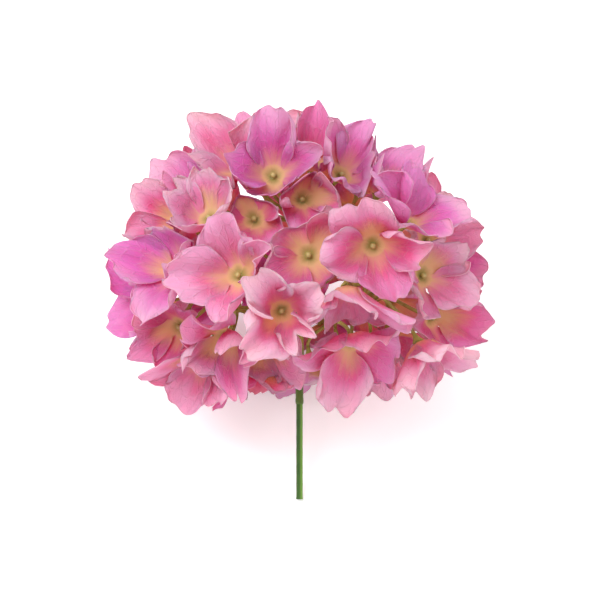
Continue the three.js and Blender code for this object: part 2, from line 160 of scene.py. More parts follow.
front_florets = [
    # eye, aim, proud, turn, open, flare, hue
    ([-12, 51], (0.05, 0.3), 12, 5, 48, 6, "orchid"),
    ([4, 15], (0, 0.1), -6, 42, 14, 0, "rose"),
    ([-8, -9], (0.1, -0.15), 17, -52, 56, 24, "pale"),
    ([-26, 6], (-0.35, 0.15), 13, 8, 46, 6, "pale"),
    ([-40, 31], (-0.35, 0.62), 9, -20, 48, 0, "pale"),
    ([-26, 54], (-0.35, 0.62), 4, 35, 46, 0, "pale"),
    ([-17, 57, -9], (-0.1, 0.85), 2, 27, 50, 0, "pale"),
    ([5, 56, 4], (0.1, 0.75), -4, 95, 52, 0, "rose"),
    ([18, 51], (0.45, 0.55), 6, 65, 46, 6, "orchid"),
    ([35, 43, 14], (0.3, 0.88), 2, 45, 56, 0, "orchid"),
    ([47, 29, 30], (0.5, 0.65), 6, 100, 52, 0, "orchid"),
    ([49, 36, -6], (0.8, 0.4), -2, 10, 50, 0, "pale"),
    ([57, 22, 8], (0.65, 0.22), 0, 12, 42, 0, "pale"),
    ([54, 6, 26], (0.66, 0.1), 4, -32, 42, 0, "pale"),
    ([59, -12, 10], (0.7, -0.28), -2, -12, 46, 0, "rose"),
    ([32, 20], (0.12, -0.32), 15, 12, 48, 10, "rose"),
    ([21, 2], (0.02, -0.95), 10, 86, 50, 0, "pale"),
    ([33, -24], (0.1, -0.94), 4, 80, 54, 0, "pale"),
    ([53, -23, 28], (0.45, -0.85), 4, 70, 50, 0, "pale"),
    ([-52, 30, 22], (-0.7, 0.45), -2, 35, 50, 0, "rose"),
    ([-42, 42, 0], (-0.55, 0.62), 0, 45, 46, 0, "orchid"),
    ([-53, 8, 28], (-0.6, 0.35), 5, -20, 50, 0, "orchid"),
    ([-62, -5, 0], (-0.88, -0.1), 2, 30, 44, 0, "orchid"),
    ([-53, -16, 22], (-0.6, -0.35), -3, 22, 48, 0, "rose"),
    ([-42, -30, 22], (-0.35, -0.75), 2, 75, 46, 0, "pale"),
    ([-32, -20], (-0.25, -0.6), 7, 40, 48, 8, "rose"),
    ([-17, -22], (0, -0.75), -4, 75, 56, 0, "pale"),
    ([1, 40], (0.05, 0.3), -9, 0, 44, 0, "rose"),
    ([-20, 31], (-0.15, 0.35), -9, 30, 42, 0, "rose"),
]

# The rest start on a spiral over the back and move apart until they are evenly spread.
HIDDEN_FLORETS = 28
SPIRAL_TOP = 0.94
SPIRAL_FOOT = -0.8
SPIRAL_TURN = 0.618
EYE_SPACING = 30.0
SPREAD_STEPS = 80
SPREAD_PUSH = 0.25
GAP_BEFORE_SLEEVE = (0, -38, 40)  # no floret grows here, so that the sleeve shows
hidden_look = {"sway": 1.0, "proud": (-6, 8), "open": (18, 46), "flare": (0, 14)}
hidden_hues = ["pale", "pale", "rose", "orchid"]


def draw(floret, number):
    """The same number from 0 to 1 each time for the same floret and the same draw."""
    wave = math.sin(SEED + floret * 12.9898 + number * 78.233) * 43758.5453
    return wave - math.floor(wave)


def between(ends, share):
    """A number that lies a share of the way from the first to the second."""
    return ends[0] + (ends[1] - ends[0]) * share


def head_reach(point):
    """The head's half-lengths along x, y and z, on the point's side of the centre."""
    return np.array([SIDE_REACH, UP_REACH if point[1] > 0 else DOWN_REACH, SIDE_REACH])


def onto_head(point):
    """The point moved along its line from the centre onto the surface of the eyes."""
    return point / np.linalg.norm(point / head_reach(point))


def new_floret(index, eye, axis, **look):
    """A floret with its eye, the way it faces, and two directions across it."""
    across = unit(np.array([1, 0, 0]) - axis[0] * axis)
    return dict(
        look, index=index, eye=eye, axis=axis, across=across,
        upward=np.cross(axis, across), site=eye + SITE_HEIGHT * axis)


florets = []
for eye, (aim_x, aim_y), proud, turn, opening, flare, hue in front_florets:
    reach = head_reach(eye)
    depth = 1 - (eye[0] / reach[0]) ** 2 - (eye[1] / reach[1]) ** 2
    z = eye[2] if len(eye) > 2 else SIDE_REACH * math.sqrt(max(depth, RIM_SHARE))
    florets.append(new_floret(
        len(florets), np.array([eye[0], eye[1], z + proud], float),
        np.array([aim_x, aim_y, math.sqrt(1 - aim_x ** 2 - aim_y ** 2)]),
        proud=proud, turn=turn, open=opening, flare=flare, hue=hue))

hidden_eyes = []
for i in range(HIDDEN_FLORETS):
    height = between((SPIRAL_TOP, SPIRAL_FOOT), i / (HIDDEN_FLORETS - 1))
    around = math.pi * (1 + (i * SPIRAL_TURN) % 1)
    ring = math.sqrt(1 - height ** 2)
    hidden_eyes.append(onto_head(
        np.array([ring * math.cos(around), height, ring * math.sin(around)])))
kept_free = [np.array([0, -DOWN_REACH, 0]), np.array(GAP_BEFORE_SLEEVE)]
fixed_eyes = [floret["eye"] for floret in florets] + kept_free
for _ in range(SPREAD_STEPS):
    for i, eye in enumerate(hidden_eyes):
        others = np.array(fixed_eyes + hidden_eyes[:i] + hidden_eyes[i + 1:])
        apart = eye - others
        distance = np.linalg.norm(apart, axis=1, keepdims=True)
        push = np.maximum(0, EYE_SPACING - distance) * SPREAD_PUSH * apart / distance
        hidden_eyes[i] = onto_head(eye + push.sum(axis=0))

for eye in hidden_eyes:
    i = len(florets)
    sway = np.array([draw(i, 1), draw(i, 2), draw(i, 3)]) - 0.5
    axis = unit(unit(eye / head_reach(eye) ** 2) + hidden_look["sway"] * sway)
    proud = between(hidden_look["proud"], draw(i, 4))
    florets.append(new_floret(
        i, eye + proud * axis, axis, proud=proud, turn=90 * draw(i, 5),
        open=between(hidden_look["open"], draw(i, 6)),
        flare=between(hidden_look["flare"], draw(i, 8)),
        hue=hidden_hues[math.floor(len(hidden_hues) * draw(i, 7))]))

# ---- How petals give way -------------------------------------------------------------------
# The cloth of a floret keeps behind a plane between it and each neighbour, the table, the stem
# and one under the head. It bends back softly as it nears one. The planes are taken in turn,
# so where several meet, a fold can still cross its neighbour's by a little.

CLEARANCE = 0.525                # from a plane to the middle of the cloth behind it
STEM_CLEARANCE = 2.725           # the same, from the stem's own line
TABLE_CLEARANCE = 0.35
SOFTNESS = 4.0                   # the cloth starts to bend this far before a plane
TABLE_SOFTNESS = 1.5
BENDS_FROM = 0.4
FARTHEST_NEIGHBOUR = 90.0
SHARE_PER_PROUD = 0.01           # a proud floret takes this much more of the gap, each mm
LEAN_PER_PROUD = 0.03            # and spreads this much over its neighbour
LEAN_MOST = 0.4
UNDER_HEIGHT = -20.0             # the sleeve shows below this height
UNDER_SLOPE = 1.0                # and the petals hang lower the further out they are

table_down = np.array([0, -math.sin(TILT), -math.cos(TILT)])
for floret in florets:
    walls = []
    site = floret["site"]
    for other in florets:
        way = other["site"] - site
        apart = np.linalg.norm(way)
        if other is floret or apart > FARTHEST_NEIGHBOUR:
            continue
        prouder = floret["proud"] - other["proud"]
        straight = way / apart
        meeting = site + (0.5 + SHARE_PER_PROUD * prouder) * way
        outward = unit(meeting - (meeting @ straight) * straight)
        lean = np.clip(LEAN_PER_PROUD * prouder, -LEAN_MOST, LEAN_MOST)
        normal = unit(straight - lean * outward)
        walls.append((normal, normal @ meeting - CLEARANCE, SOFTNESS))
    walls.append((table_down, place[2] - TABLE_CLEARANCE, TABLE_SOFTNESS))
    if site[1] < 0:
        to_stem = unit(np.array([-site[0], 0, -site[2]]))
        walls.append((to_stem, -STEM_CLEARANCE, SOFTNESS))
        under = unit(to_stem - np.array([0, UNDER_SLOPE, 0]))
        walls.append((under, under[1] * UNDER_HEIGHT, SOFTNESS))
    floret["walls"] = walls


def bend_clear(points, walls, along):
    """Bends points back from each plane: a depth d past its soft start becomes
    softness (1 - exp(-d / softness)), in full from the share BENDS_FROM of the petal on."""
    share = np.clip(along / BENDS_FROM, 0, 1)
    for normal, reach, softness in walls:
        into = np.maximum(0, points @ normal - (reach - softness))
        kept = softness * (1 - np.exp(-into / softness))
        points = points + (share * (kept - into))[..., None] * normal
    return points


# ---- The fabric florets --------------------------------------------------------------------
# Each is one piece of thin polyester cloth, die-cut with four broad petals, pressed hot over
# a mould that gives it a throat, veins and ruffled rims, and pushed onto its stalk through a
# small hole. The dye is greenish yellow in the throat, and runs from pale pink to orchid.

PETAL_LENGTH = 31.0
CLOTH_THICKNESS = 0.3
HOLE_RADIUS = 1.5
ROOT_RADIUS = 6.0
RING_LIFT = math.radians(24)     # the slope of the ring round the hole
ROOT_PER_OPEN = 0.85             # the petals of a cup start steeper than that
TIP_ROUNDING = 0.28
PETAL_HALF_WIDTH = 22.0
WIDEST_AT = 0.72                 # as a share of the way from the root to the tip
CLOSING_POWER = 2.6              # how suddenly it closes from there to its end
WIDEST_ANGLE = math.radians(72)  # how far round the eye a cupped petal's side can come
WRAP_RATE = 1.4                  # how fast it gets there
LEAST_ROUND = 0.2                # the least cosine that a steep petal's radius is taken with
LAYER_GAP = 1.1                  # how far its sides lie over or under its neighbours'
ROOT_BLEND = 0.15                # its own width takes over in this share of its length
PARTED_REACH = 0.4               # where two petals part is halfway between them, up to here
SLIT_ANGLE = 0.03                # the slit between two petals, in radians each side
SLIT_START = 0.05
WIDTH_RIPPLE = 0.05              # how much the sides swing in and out, as a share
WIDTH_WAVES = 1.1

# The cut of the tip, in shares of the petal's length: two waves of lobes and a small point.
LOBE_SIZES = (0.03, 0.016)
LOBE_WAVES = (1.1, 2.1)
POINT_REACH = (-0.5, 0.5)        # where across the tip the point can stand
POINT_SIZE = 0.11
POINT_WIDTH = 0.16

# The relief that the mould presses into the cloth, in mm.
RUFFLE_HEIGHTS = (1.7, 0.8)      # waves from side to side, highest at the rim
RUFFLE_WAVES = (1.4, 2.5)
SIDE_RUFFLE_HEIGHT = 1.6         # waves along the two sides
SIDE_RUFFLE_WAVES = 1.2
CRUMPLE_HEIGHT = 0.6
FOLD_DEPTH = 0.4                 # the fold along the middle
FOLD_WIDTH = 0.08
FOLD_FADES = 0.6

PETAL_COLUMNS = 26
RING_ROWS = 3
PETAL_ROWS = 26
ROW_POWER = 0.9                  # the rows lie a little closer together towards the tip
petal_look = {
    "turn": (-5, 5), "length": (0.9, 1.1), "tip_lift": (-24, 22),
    "cup": (-0.1, 0.15), "wave": (1.4, 3.2), "point": (-0.08, 0.04),
    "curl": (-75, 10), "twist": (-0.2, 0.2), "end_width": (0.55, 0.8),
}


def petal_of(floret, k):
    """One petal's own shape, drawn for this floret and this petal."""
    own = [draw(floret["index"], 10 + 8 * k + number) for number in range(8)]
    fine = [draw(floret["index"], 50 + 12 * k + number) for number in range(12)]
    return {
        "middle": math.radians(floret["turn"] + 90 * k + between(petal_look["turn"], own[0])),
        "length": PETAL_LENGTH * between(petal_look["length"], own[1]),
        "root_lift": max(RING_LIFT, math.radians(ROOT_PER_OPEN * floret["open"])),
        "tip_lift": math.radians(floret["open"] + between(petal_look["tip_lift"], own[2])),
        "cup": between(petal_look["cup"], own[3]),
        "wave": between(petal_look["wave"], own[4]),
        "phase": 2 * math.pi * own[5],
        "point": between(petal_look["point"], own[6]),
        "curl": math.radians(between(petal_look["curl"], own[7])),
        "twist": between(petal_look["twist"], fine[11]),
        "end_width": between(petal_look["end_width"], fine[8]),
        "layer": 1 - 2 * (k % 2),
        "fine": fine,
    }


def petal_points(floret, petal, before, after, along, across):
    """A petal's middle surface. along runs from -1 at the hole over 0 at the root to 1 at the
    tip, across from -1 to 1. The cloth is cut in polar form and lifted: its slope grows
    evenly from root to tip, with a flare in the middle and a curl that grows by the cube
    towards the tip. Its sides rise by the square of across, and it twists. It waves twice
    from side to side, with smaller ruffles at the rim that die away inwards."""
    fine = petal["fine"]
    turn = 2 * math.pi
    out = np.maximum(0, along)
    rim = out ** 3
    side = np.abs(across)

    # The cut of the tip.
    point_at = between(POINT_REACH, fine[0])
    lobes = (
        LOBE_SIZES[0] * np.cos(turn * LOBE_WAVES[0] * across + turn * fine[1])
        + LOBE_SIZES[1] * np.cos(turn * LOBE_WAVES[1] * across + turn * fine[2])
        + POINT_SIZE * fine[3] ** 3 * np.exp(-((across - point_at) / POINT_WIDTH) ** 2))
    tip = petal["length"] * (1 - TIP_ROUNDING * across ** 2) * (
        1 + petal["point"] * np.maximum(0, 1 - 2 * side) + lobes)

    near = ROOT_RADIUS + np.minimum(0, along) * (ROOT_RADIUS - HOLE_RADIUS)
    past = out * (tip - ROOT_RADIUS)
    grow = past / (petal["length"] - ROOT_RADIUS)
    flare = math.radians(floret["flare"])
    root = petal["root_lift"]
    rise = petal["tip_lift"] - root
    slope = root + rise * grow + flare * 4 * grow * (1 - grow) + petal["curl"] * grow ** 3
    chord = (root + rise * grow / 2 + flare * (2 * grow - grow ** 2 * 4 / 3)
             + petal["curl"] * grow ** 3 / 4)

    # The cloth keeps its width in mm as it is lifted, so the petals of a cup overlap.
    widening = np.sin(math.pi / 2 * np.minimum(1, out / WIDEST_AT))
    closing = (np.maximum(0, out - WIDEST_AT) / (1 - WIDEST_AT)) ** CLOSING_POWER
    half_width = ROOT_RADIUS * math.pi / 4 * (1 - widening) + PETAL_HALF_WIDTH * widening
    half_width = half_width * (1 - (1 - petal["end_width"]) * closing)
    half_width = half_width * (1 + WIDTH_RIPPLE * out * np.sin(
        turn * (WIDTH_WAVES * out + fine[4]) + 2 * np.sign(across)))
    ring_radius, ring_height = near * math.cos(RING_LIFT), near * math.sin(RING_LIFT)
    round_radius = ring_radius + past * np.maximum(LEAST_ROUND, np.cos(chord))
    half_angle = half_width / round_radius
    half_angle = WIDEST_ANGLE * (1 - np.exp(-WRAP_RATE * half_angle / WIDEST_ANGLE))
    blend = np.minimum(1, out / ROOT_BLEND)
    half_angle = math.pi / 4 * (1 - blend) + half_angle * blend
    parted = np.where(across < 0, petal["middle"] - before, after - petal["middle"])
    parted = (parted - math.pi / 4) * np.maximum(0, 1 - out / PARTED_REACH)
    parting = 1 - np.exp(-out / SLIT_START)
    angle = petal["middle"] + across * (half_angle + parted - SLIT_ANGLE * parting)

    # The relief. The crumple is the product of two slanting waves.
    ruffle = (
        RUFFLE_HEIGHTS[0] * np.cos(turn * RUFFLE_WAVES[0] * across + turn * fine[5] + 2 * out)
        + RUFFLE_HEIGHTS[1] * np.cos(turn * RUFFLE_WAVES[1] * across + turn * fine[6])
        + SIDE_RUFFLE_HEIGHT * side ** 3 * np.sin(
            turn * SIDE_RUFFLE_WAVES * along + turn * fine[7] + np.sign(across)))
    crumple = CRUMPLE_HEIGHT * np.sin(turn * (0.9 * along + 0.6 * across + fine[9])) * np.sin(
        turn * (0.8 * across - 0.5 * along + fine[10]))
    fold = -FOLD_DEPTH * np.exp(-(across / FOLD_WIDTH) ** 2) * (1 - FOLD_FADES * out)
    off = out * (
        petal["cup"] * petal["length"] * across ** 2 + petal["twist"] * petal["length"] * across
        + petal["wave"] * np.cos(turn * across + petal["phase"]) + crumple + fold)
    off = off + rim * ruffle + petal["layer"] * LAYER_GAP * parting * side ** 2
    sideways = ring_radius + past * np.cos(chord) - off * np.sin(slope)
    height = ring_height + past * np.sin(chord) + off * np.cos(slope)
    return (
        floret["eye"]
        + (sideways * np.cos(angle))[..., None] * floret["across"]
        + (sideways * np.sin(angle))[..., None] * floret["upward"]
        + height[..., None] * floret["axis"])


def floret_mesh(name, floret):
    """A closed sheet of cloth: four petal grids that share their columns on the ring round
    the hole, offset half the thickness either side, with a rim between the two faces."""
    rows = np.concatenate([
        np.linspace(-1, 0, RING_ROWS + 1)[:-1], np.linspace(0, 1, PETAL_ROWS + 1) ** ROW_POWER])
    columns = np.linspace(-1, 1, PETAL_COLUMNS + 1)
    along, across = np.meshgrid(rows, columns, indexing="ij")
    petals = [petal_of(floret, k) for k in range(4)]
    middles = [petal["middle"] for petal in petals]
    grids = []
    for k, petal in enumerate(petals):
        before = (middles[k - 1] - (2 * math.pi if k == 0 else 0) + middles[k]) / 2
        after = (middles[k] + middles[(k + 1) % 4] + (2 * math.pi if k == 3 else 0)) / 2
        points = petal_points(floret, petal, before, after, along, across)
        grids.append(bend_clear(points, floret["walls"], along))
    grids = np.array(grids)

    # Number the points: up to the root, a petal's last column is the next petal's first.
    count = len(rows) * len(columns)
    number = np.arange(4 * count).reshape(4, len(rows), len(columns))
    for k in range(4):
        number[k, :RING_ROWS + 1, -1] = number[(k + 1) % 4, :RING_ROWS + 1, 0]
    used, number = np.unique(number, return_inverse=True)
    number = number.reshape(4, len(rows), len(columns))
    middle = grids.reshape(-1, 3)[used]

    quads = np.stack([
        number[:, :-1, :-1], number[:, :-1, 1:], number[:, 1:, 1:], number[:, 1:, :-1],
    ], axis=-1).reshape(-1, 4)[:, ::-1]
    normals = np.zeros_like(middle)
    face = np.cross(middle[quads[:, 2]] - middle[quads[:, 0]],
                    middle[quads[:, 3]] - middle[quads[:, 1]])
    for corner in range(4):
        np.add.at(normals, quads[:, corner], face)
    normals = unit(normals)

    rims = []
    for k in range(4):
        outline = np.concatenate([
            number[k, RING_ROWS:, 0], number[k, -1, 1:], number[k, RING_ROWS:-1, -1][::-1]])
        rims += [outline, number[k, 0, ::-1]]
    total = len(middle)
    edges = np.concatenate([np.stack([rim[:-1], rim[1:]], axis=1) for rim in rims])
    rim_quads = np.stack(
        [edges[:, 0], edges[:, 1], edges[:, 1] + total, edges[:, 0] + total], axis=1)
    faces = np.concatenate([quads, quads[:, ::-1] + total, rim_quads])
    half = CLOTH_THICKNESS / 2
    points = laid(np.concatenate([middle + half * normals, middle - half * normals]))

    mesh = bpy.data.meshes.new(name)
    mesh.vertices.add(len(points))
    mesh.vertices.foreach_set("co", points.ravel())
    mesh.loops.add(faces.size)
    mesh.loops.foreach_set("vertex_index", faces.ravel().astype(np.int32))
    mesh.polygons.add(len(faces))
    mesh.polygons.foreach_set("loop_start", np.arange(0, faces.size, 4, dtype=np.int32))
    mesh.polygons.foreach_set("loop_total", np.full(len(faces), 4, dtype=np.int32))
    smooth = np.ones(len(faces), dtype=bool)
    smooth[-len(rim_quads):] = False
    mesh.polygons.foreach_set("use_smooth", smooth)

    # What the dye follows: across and along the petal, from -1 to 1, and three numbers of
    # the petal's own: how far it leans to orchid, how far it leans to white, and a seed that
    # also says how far out its throat reaches.
    petal_of_point = np.repeat(np.arange(4), count)[used]
    spots = np.stack([
        np.tile(across.ravel(), 4)[used], np.tile(along.ravel(), 4)[used],
        np.zeros(len(used))], axis=1)
    dyes = np.array([
        [draw(floret["index"], 100 + 3 * k + n) for n in range(3)] for k in range(4)])
    for label, values in (("petal_place", spots), ("dye", dyes[petal_of_point])):
        layer = mesh.attributes.new(label, "FLOAT_VECTOR", "POINT")
        layer.data.foreach_set("vector", np.concatenate([values, values]).ravel())
    mesh.update()
    mesh.validate()
    return mesh


def node(tree, kind, inputs, **settings):
    """A shader node with its settings, and with each input linked to a socket or set."""
    made = tree.nodes.new("ShaderNode" + kind)
    for name, value in settings.items():
        setattr(made, name, value)
    for name, value in inputs.items():
        if isinstance(value, bpy.types.NodeSocket):
            tree.links.new(value, made.inputs[name])
        else:
            made.inputs[name].default_value = value
    return made


def sums(tree, operation, *values):
    """The output of a Math node."""
    return node(tree, "Math", dict(enumerate(values)), operation=operation).outputs[0]


def ramp(tree, value, low, high, to_low=0.0, to_high=1.0):
    """A smooth step from to_low, where value is low, to to_high, where it is high."""
    return node(tree, "MapRange", {
        "Value": value, "From Min": low, "From Max": high, "To Min": to_low,
        "To Max": to_high}, interpolation_type="SMOOTHSTEP").outputs["Result"]


def blended(tree, share, first, second):
    """A colour that goes from the first to the second."""
    mixed = node(tree, "Mix", {0: share, 6: first, 7: second}, data_type="RGBA")
    return mixed.outputs[2]


def shader_group(name, inputs, outputs):
    """An empty shader node group, with its input and output nodes."""
    tree = bpy.data.node_groups.new(name, "ShaderNodeTree")
    for label, kind in inputs.items():
        tree.interface.new_socket(label, in_out="INPUT", socket_type="NodeSocket" + kind)
    for label, kind in outputs.items():
        tree.interface.new_socket(label, in_out="OUTPUT", socket_type="NodeSocket" + kind)
    return tree, tree.nodes.new("NodeGroupInput").outputs, tree.nodes.new("NodeGroupOutput").inputs


# The dye and the relief of the cloth, for all three hues. The numbers of each ramp are where
# on the petal its blend starts and ends, in shares of the way out from the root.
cloth, given, result = shader_group(
    "dyed_cloth",
    {"Body": "Color", "Deep": "Color", "Orchid": "Color", "White": "Color", "Throat": "Color",
     "Heart": "Color", "Orchid Share": "Float"},
    {"Color": "Color", "Height": "Float"})
spot = node(cloth, "SeparateXYZ", {
    0: node(cloth, "Attribute", {}, attribute_name="petal_place").outputs["Vector"]}).outputs
dye = node(cloth, "SeparateXYZ", {
    0: node(cloth, "Attribute", {}, attribute_name="dye").outputs["Vector"]}).outputs
across, along = spot["X"], spot["Y"]
own = sums(cloth, "MULTIPLY", dye["Z"], 40.0)  # so that no two petals share their noise
flat_place = node(cloth, "CombineXYZ", {"X": across, "Y": along, "Z": own}).outputs[0]
blots = node(cloth, "TexNoise", {"Vector": flat_place, "Scale": 1.1, "Detail": 3.0}).outputs[0]
streaks = node(cloth, "TexNoise", {
    "Vector": node(cloth, "Mapping", {
        "Vector": flat_place, "Scale": (7.0, 1.2, 1.0)}).outputs[0],
    "Scale": 1.0, "Detail": 2.0}).outputs[0]

# From the throat out, the petal is deep pink, then its own pink, with a share of orchid and of
# white, and its very edge is painted paler: a painted highlight where the cut rim catches light.
orchid_share = sums(cloth, "MULTIPLY", ramp(cloth, dye["X"], 0.45, 0.95), given["Orchid Share"])
outward = sums(cloth, "ADD", along, blots)
orchid_share = sums(cloth, "MULTIPLY", orchid_share, ramp(cloth, outward, 0.5, 1.4))
white_share = sums(
    cloth, "MULTIPLY", ramp(cloth, dye["Y"], -0.2, 0.8), ramp(cloth, outward, 0.9, 1.6, 0.0, 0.95))
body = blended(cloth, ramp(cloth, outward, 0.75, 1.3), given["Deep"], given["Body"])
body = blended(cloth, orchid_share, body, given["Orchid"])
body = blended(cloth, white_share, body, given["White"])
# Painted highlight: near the rim the colour is blended up to half way to white.
edge = sums(cloth, "MAXIMUM", along, sums(cloth, "ABSOLUTE", across))
body = blended(cloth, ramp(cloth, edge, 0.94, 1.0, 0.0, 0.5), body, given["White"])

# The throat's yellow runs out along the middle of each petal in streaks.
side = sums(cloth, "MULTIPLY", across, across)
spread = sums(cloth, "ADD", along, sums(cloth, "MULTIPLY", side, 0.14))
spread = sums(cloth, "ADD", spread, sums(cloth, "MULTIPLY", blots, 0.5))
spread = sums(cloth, "ADD", spread, sums(cloth, "MULTIPLY", streaks, 0.3))
spread = sums(cloth, "ADD", spread, sums(cloth, "MULTIPLY", dye["Z"], 0.35))
yellow = blended(cloth, ramp(cloth, spread, -0.5, 0.6), given["Heart"], given["Throat"])
colour = blended(cloth, ramp(cloth, spread, 0.45, 1.05), yellow, body)

# Veins fan out from the root into a net, pressed into the cloth.
net_place = node(cloth, "Mapping", {
    "Vector": flat_place, "Scale": (3.4, 2.3, 1.0)}).outputs[0]
wander = node(cloth, "TexNoise", {"Vector": net_place, "Scale": 1.5}).outputs["Color"]
net_place = node(cloth, "VectorMath", {
    0: wander, 1: (0.35, 0.35, 0.0), 2: net_place}, operation="MULTIPLY_ADD").outputs[0]
big_net = node(cloth, "TexVoronoi", {"Vector": net_place, "Scale": 1.6},
               feature="DISTANCE_TO_EDGE").outputs["Distance"]
small_net = node(cloth, "TexVoronoi", {"Vector": net_place, "Scale": 4.6},
                 feature="DISTANCE_TO_EDGE").outputs["Distance"]
veins = sums(cloth, "ADD", ramp(cloth, big_net, 0.0, 0.09, 1.0, 0.0),
             ramp(cloth, small_net, 0.0, 0.14, 0.45, 0.0))
veins = sums(cloth, "MULTIPLY", veins, ramp(cloth, along, 0.0, 0.4))
coordinates = node(cloth, "TexCoord", {}).outputs["Object"]
weave = node(cloth, "TexNoise", {
    "Vector": coordinates, "Scale": 2600.0, "Detail": 1.0}).outputs[0]
height = sums(cloth, "ADD", veins, sums(cloth, "MULTIPLY", weave, 0.35))
cloth.links.new(blended(
    cloth, sums(cloth, "MULTIPLY", veins, 0.14), colour, given["White"]), result["Color"])
cloth.links.new(height, result["Height"])

# The three dyes of the petals, and the yellow of every throat.
hues = {
    "pale": {
        "Body": (0.89, 0.53, 0.85, 1), "Deep": (0.88, 0.30, 0.60, 1),
        "Orchid": (0.86, 0.28, 0.74, 1), "White": (0.91, 0.81, 0.93, 1),
        "Orchid Share": 0.35,
    },
    "rose": {
        "Body": (0.88, 0.36, 0.74, 1), "Deep": (0.86, 0.18, 0.46, 1),
        "Orchid": (0.84, 0.20, 0.66, 1), "White": (0.90, 0.72, 0.89, 1),
        "Orchid Share": 0.6,
    },
    "orchid": {
        "Body": (0.85, 0.34, 0.83, 1), "Deep": (0.83, 0.21, 0.63, 1),
        "Orchid": (0.80, 0.18, 0.74, 1), "White": (0.89, 0.70, 0.92, 1),
        "Orchid Share": 1.0,
    },
}
throat_dyes = {"Throat": (0.88, 0.70, 0.38, 1), "Heart": (0.53, 0.47, 0.13, 1)}
LIGHT_THROUGH = 0.5              # the share of light that the thin cloth lets through
THROUGH_TINT = (1.0, 0.50, 0.47, 1)  # and how it deepens the dye on its way
VEIN_DEPTH = 0.18 * MM

fabrics = {}
for hue, dyes in hues.items():
    fabric = bpy.data.materials.new("fabric_" + hue)
    fabric.use_nodes = True
    tree = fabric.node_tree
    dyed = node(tree, "Group", {}, node_tree=cloth)
    for label, colour in {**dyes, **throat_dyes}.items():
        dyed.inputs[label].default_value = colour
    relief = node(tree, "Bump", {
        "Height": dyed.outputs["Height"], "Distance": VEIN_DEPTH, "Strength": 1.0}).outputs[0]
    surface = tree.nodes["Principled BSDF"]
    tree.links.new(dyed.outputs["Color"], surface.inputs["Base Color"])
    tree.links.new(relief, surface.inputs["Normal"])
    surface.inputs["Roughness"].default_value = 0.62
    surface.inputs["Specular IOR Level"].default_value = 0.3
    surface.inputs["Sheen Weight"].default_value = 0.12
    surface.inputs["Sheen Roughness"].default_value = 0.4
    deeper = node(tree, "Mix", {0: 1.0, 6: dyed.outputs["Color"], 7: THROUGH_TINT},
                  data_type="RGBA", blend_type="MULTIPLY").outputs[2]
    through = node(tree, "BsdfTranslucent", {"Color": deeper, "Normal": relief}).outputs[0]
    both = node(tree, "MixShader", {0: LIGHT_THROUGH, 1: surface.outputs[0], 2: through})
    tree.links.new(both.outputs[0], tree.nodes["Material Output"].inputs["Surface"])
    fabrics[hue] = fabric

for floret in florets:
    number = f"{floret['index'] + 1:02d}"
    mesh = floret_mesh("fabric_floret_" + number, floret)
    mesh.materials.append(fabrics[floret["hue"]])
    piece = bpy.data.objects.new(mesh.name, mesh)
    bpy.context.scene.collection.objects.link(piece)
    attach(piece, "root")
    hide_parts("floret_" + number)

# ---- The spray -----------------------------------------------------------------------------
# One moulding of olive polyethylene: a sleeve that grips the stem, a crown and six branches
# from its hub, and a stalk for each floret. A stalk widens into a calyx of four lobes under
# the cloth, and a neck goes on through the hole to the bead. Small buds fill the inside.

HUB_HEIGHT = -14.0
CROWN_HEIGHT = 32.0
SLEEVE_END = -51.5
BRANCH_COUNT = 6
BRANCH_REACH = 34.0
BRANCH_HEIGHTS = (4.0, -9.0)
BRANCH_BEND = (0.45, 5.0)        # a branch's bend: its share of the way, and how far it rises
BRANCH_RADIUS = 1.5
STALK_RADIUS = 0.8
STALK_BEND = 13.2                # a stalk aims at the eye from this far below
STALK_STEPS = 10
BRANCH_STEPS = 14
SLEEVE_SIDES = 32
MOULDED_SIDES = 16
CALYX_SIDES = 24
RING_SLOPE = math.tan(RING_LIFT)
sleeve_profile = [
    # height, radius: a skirt round the stem's top, a lip, a slow taper, a swelling at the hub
    (SLEEVE_END, 0.9), (SLEEVE_END, 1.62), (SLEEVE_END - 0.8, 1.64), (SLEEVE_END - 0.9, 1.72),
    (SLEEVE_END - 0.3, 1.84), (SLEEVE_END + 0.9, 1.92), (SLEEVE_END + 2.1, 1.8), (-42, 1.84),
    (-34, 2.02), (-26, 2.0), (-18, 1.95), (HUB_HEIGHT - 2, 2.15), (HUB_HEIGHT, 2.5),
    (HUB_HEIGHT + 3, 2.1), (-8, 1.55), (6, 1.4), (20, 1.35), (CROWN_HEIGHT - 3, 1.5),
    (CROWN_HEIGHT - 1, 1.7), (CROWN_HEIGHT + 0.8, 1.3), (CROWN_HEIGHT + 1.6, 0.05),
]
BRANCH_TAPER = (1.1, 0.85)       # in shares of the branch's radius
knob_reach = [0.9, 1.5, 1.8]     # a branch ends in a small knob: past its end, and its radii
knob_radii = [1.5, 1.85, 1.75, 1.2, 0.1]
STALK_TAPER = (1.15, 1.0)
calyx_profile = [
    # height above the cone of the cloth's ring, radius, reach of the lobes
    (-5.6, 0.82, 0.0), (-4.2, 0.95, 0.0), (-2.9, 1.2, 0.05), (-2.1, 1.5, 0.3), (-1.45, 1.7, 1.0),
    (-1.0, 1.8, 1.35), (-0.62, 1.75, 1.3), (-0.5, 1.5, 0.9), (-0.45, 1.0, 0.2), (0.1, 0.72, 0.0),
]
bead_profile = [
    # height above the eye, radius
    (0.2, 0.7), (1.35, 0.72), (1.5, 1.0), (1.85, 1.25), (2.35, 1.38), (2.85, 1.28), (3.25, 0.95),
    (3.5, 0.5), (3.6, 0.03),
]
BEAD_LOBES = 0.16                # a bead is a little four-sided where it is thick
BEAD_NECK = 0.7
BUDS_PER_NODE = 5
BUD_RADIUS = 0.75
BUD_SLENDERNESS = 1.1
BUD_SIDES = 12
BUD_RINGS = 7
BUD_SWAY = 1.7                   # how far its stalk leans from the branch's own way
BUD_STALK_RADIUS = 0.32
